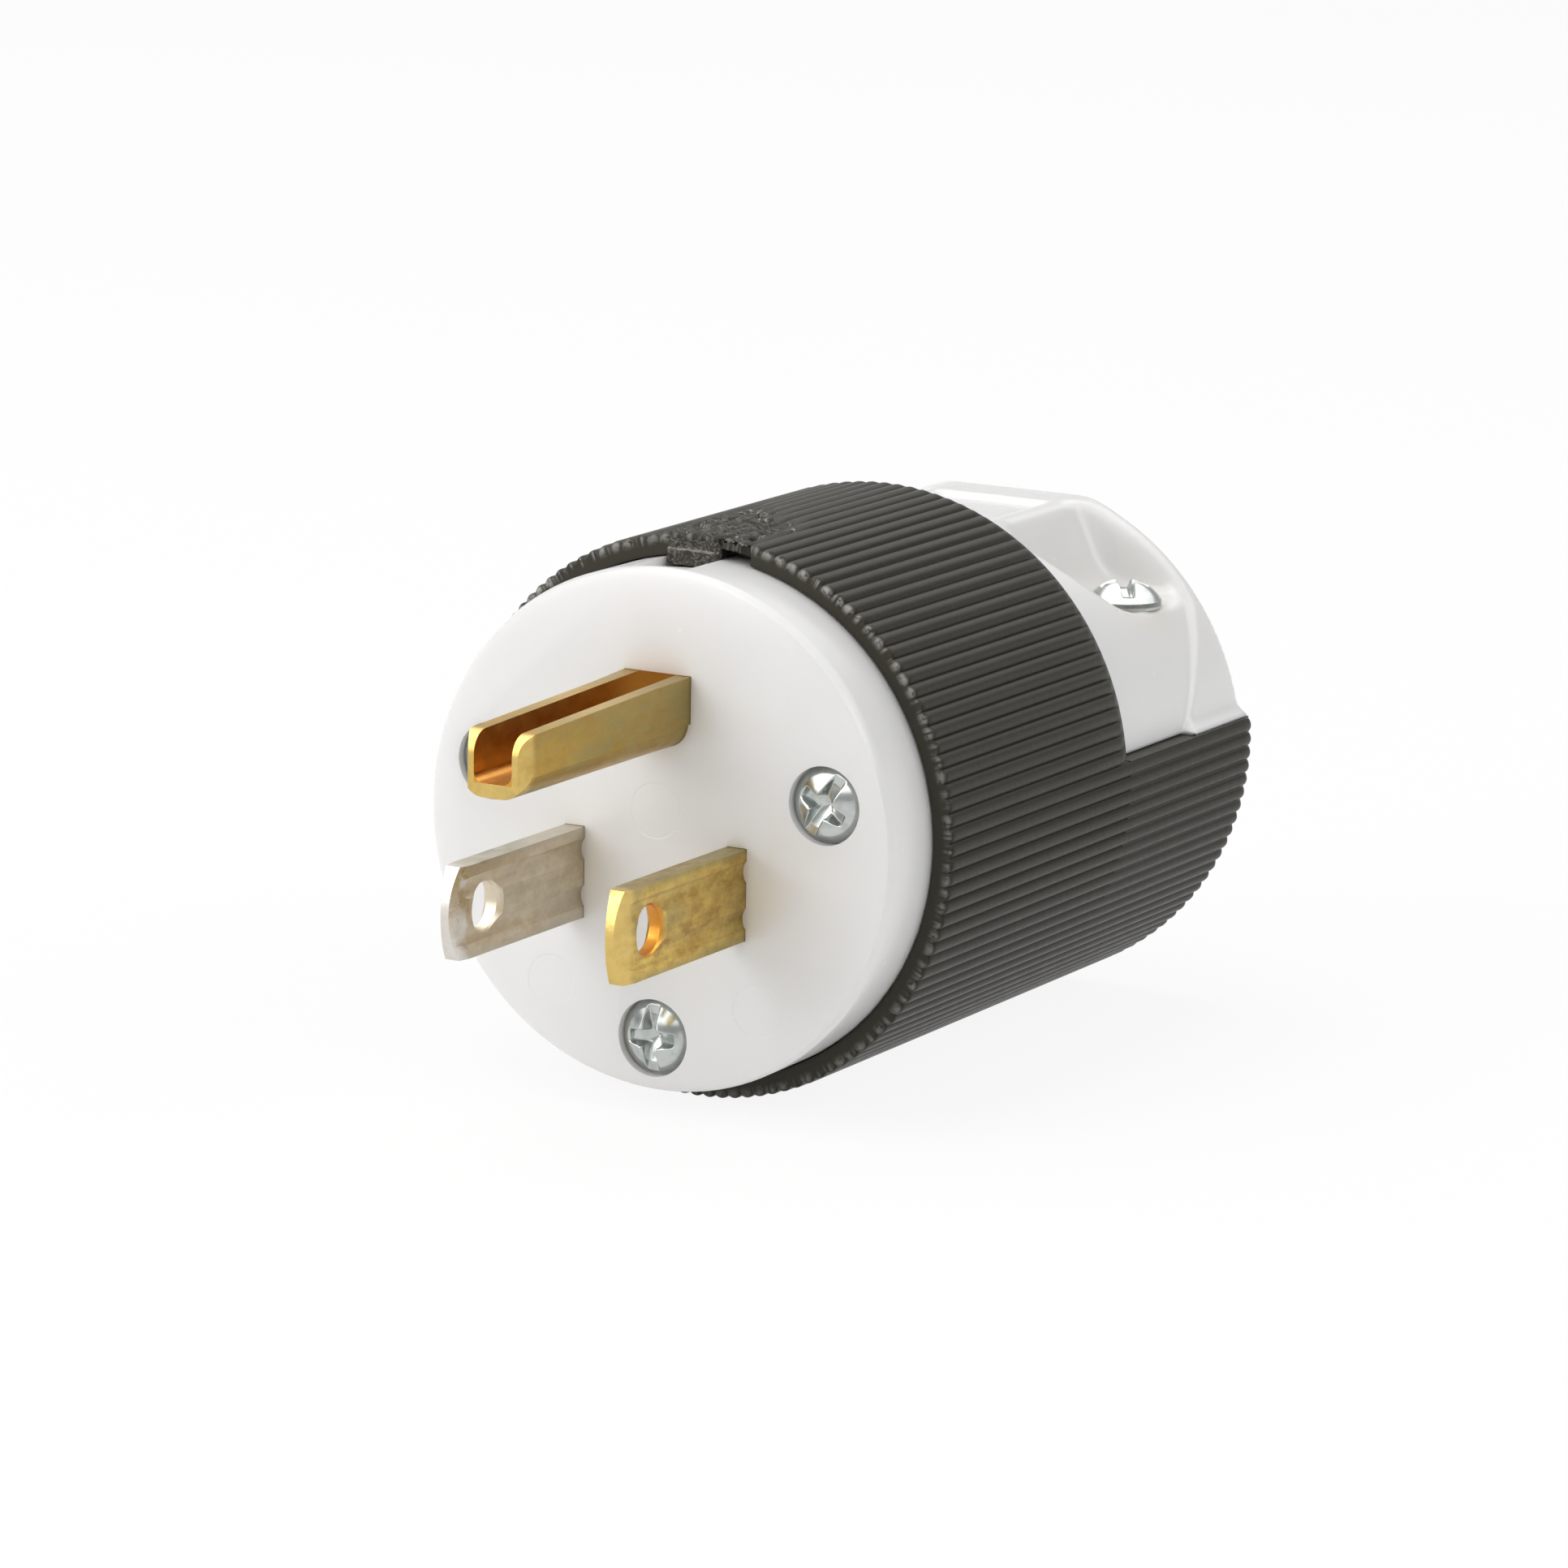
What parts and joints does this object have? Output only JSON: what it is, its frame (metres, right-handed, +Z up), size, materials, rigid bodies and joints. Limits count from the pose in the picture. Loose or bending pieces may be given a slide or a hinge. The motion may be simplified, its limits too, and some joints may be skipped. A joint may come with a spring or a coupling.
{
  "type": "grounded mains plug",
  "caption": "Rewireable type B mains plug with flat blades, a U-shaped ground pin, a ribbed black shell and a white screw-down cord clamp.",
  "frame": {"origin": "centre of the white front face, on the plug's axis, where the face meets a socket", "axes": "-Y along the prongs into a socket, +Y towards the cord, +Z up with the ground pin on top, line blade at +X"},
  "size_m": [0.0392, 0.0726, 0.0392],
  "materials": {
    "white_nylon": "glossy moulded nylon",
    "black_nylon": "semi-matte moulded nylon with ribs",
    "brass": "tarnished rolled brass",
    "nickel_plate": "nickel-plated brass",
    "zinc_steel": "bright zinc-plated steel",
    "green_steel": "green-dyed zinc-plated steel",
    "rubber": "matte"
  },
  "bodies": {
    "root": {"front_body": "white_nylon", "terminal_retainer": "white_nylon", "cord_clamp": "white_nylon", "housing": "black_nylon", "line_blade": "brass", "ground_pin": "brass", "line_pressure_plate": "brass", "line_terminal_screw": "brass", "neutral_blade": "nickel_plate", "neutral_pressure_plate": "nickel_plate", "neutral_terminal_screw": "nickel_plate", "ground_pressure_plate": "brass", "ground_terminal_screw": "green_steel", "face_screws": "zinc_steel", "clamp_screws": "zinc_steel", "clamp_nuts": "zinc_steel", "dust_seal": "rubber"}
  },
  "joints": []
}
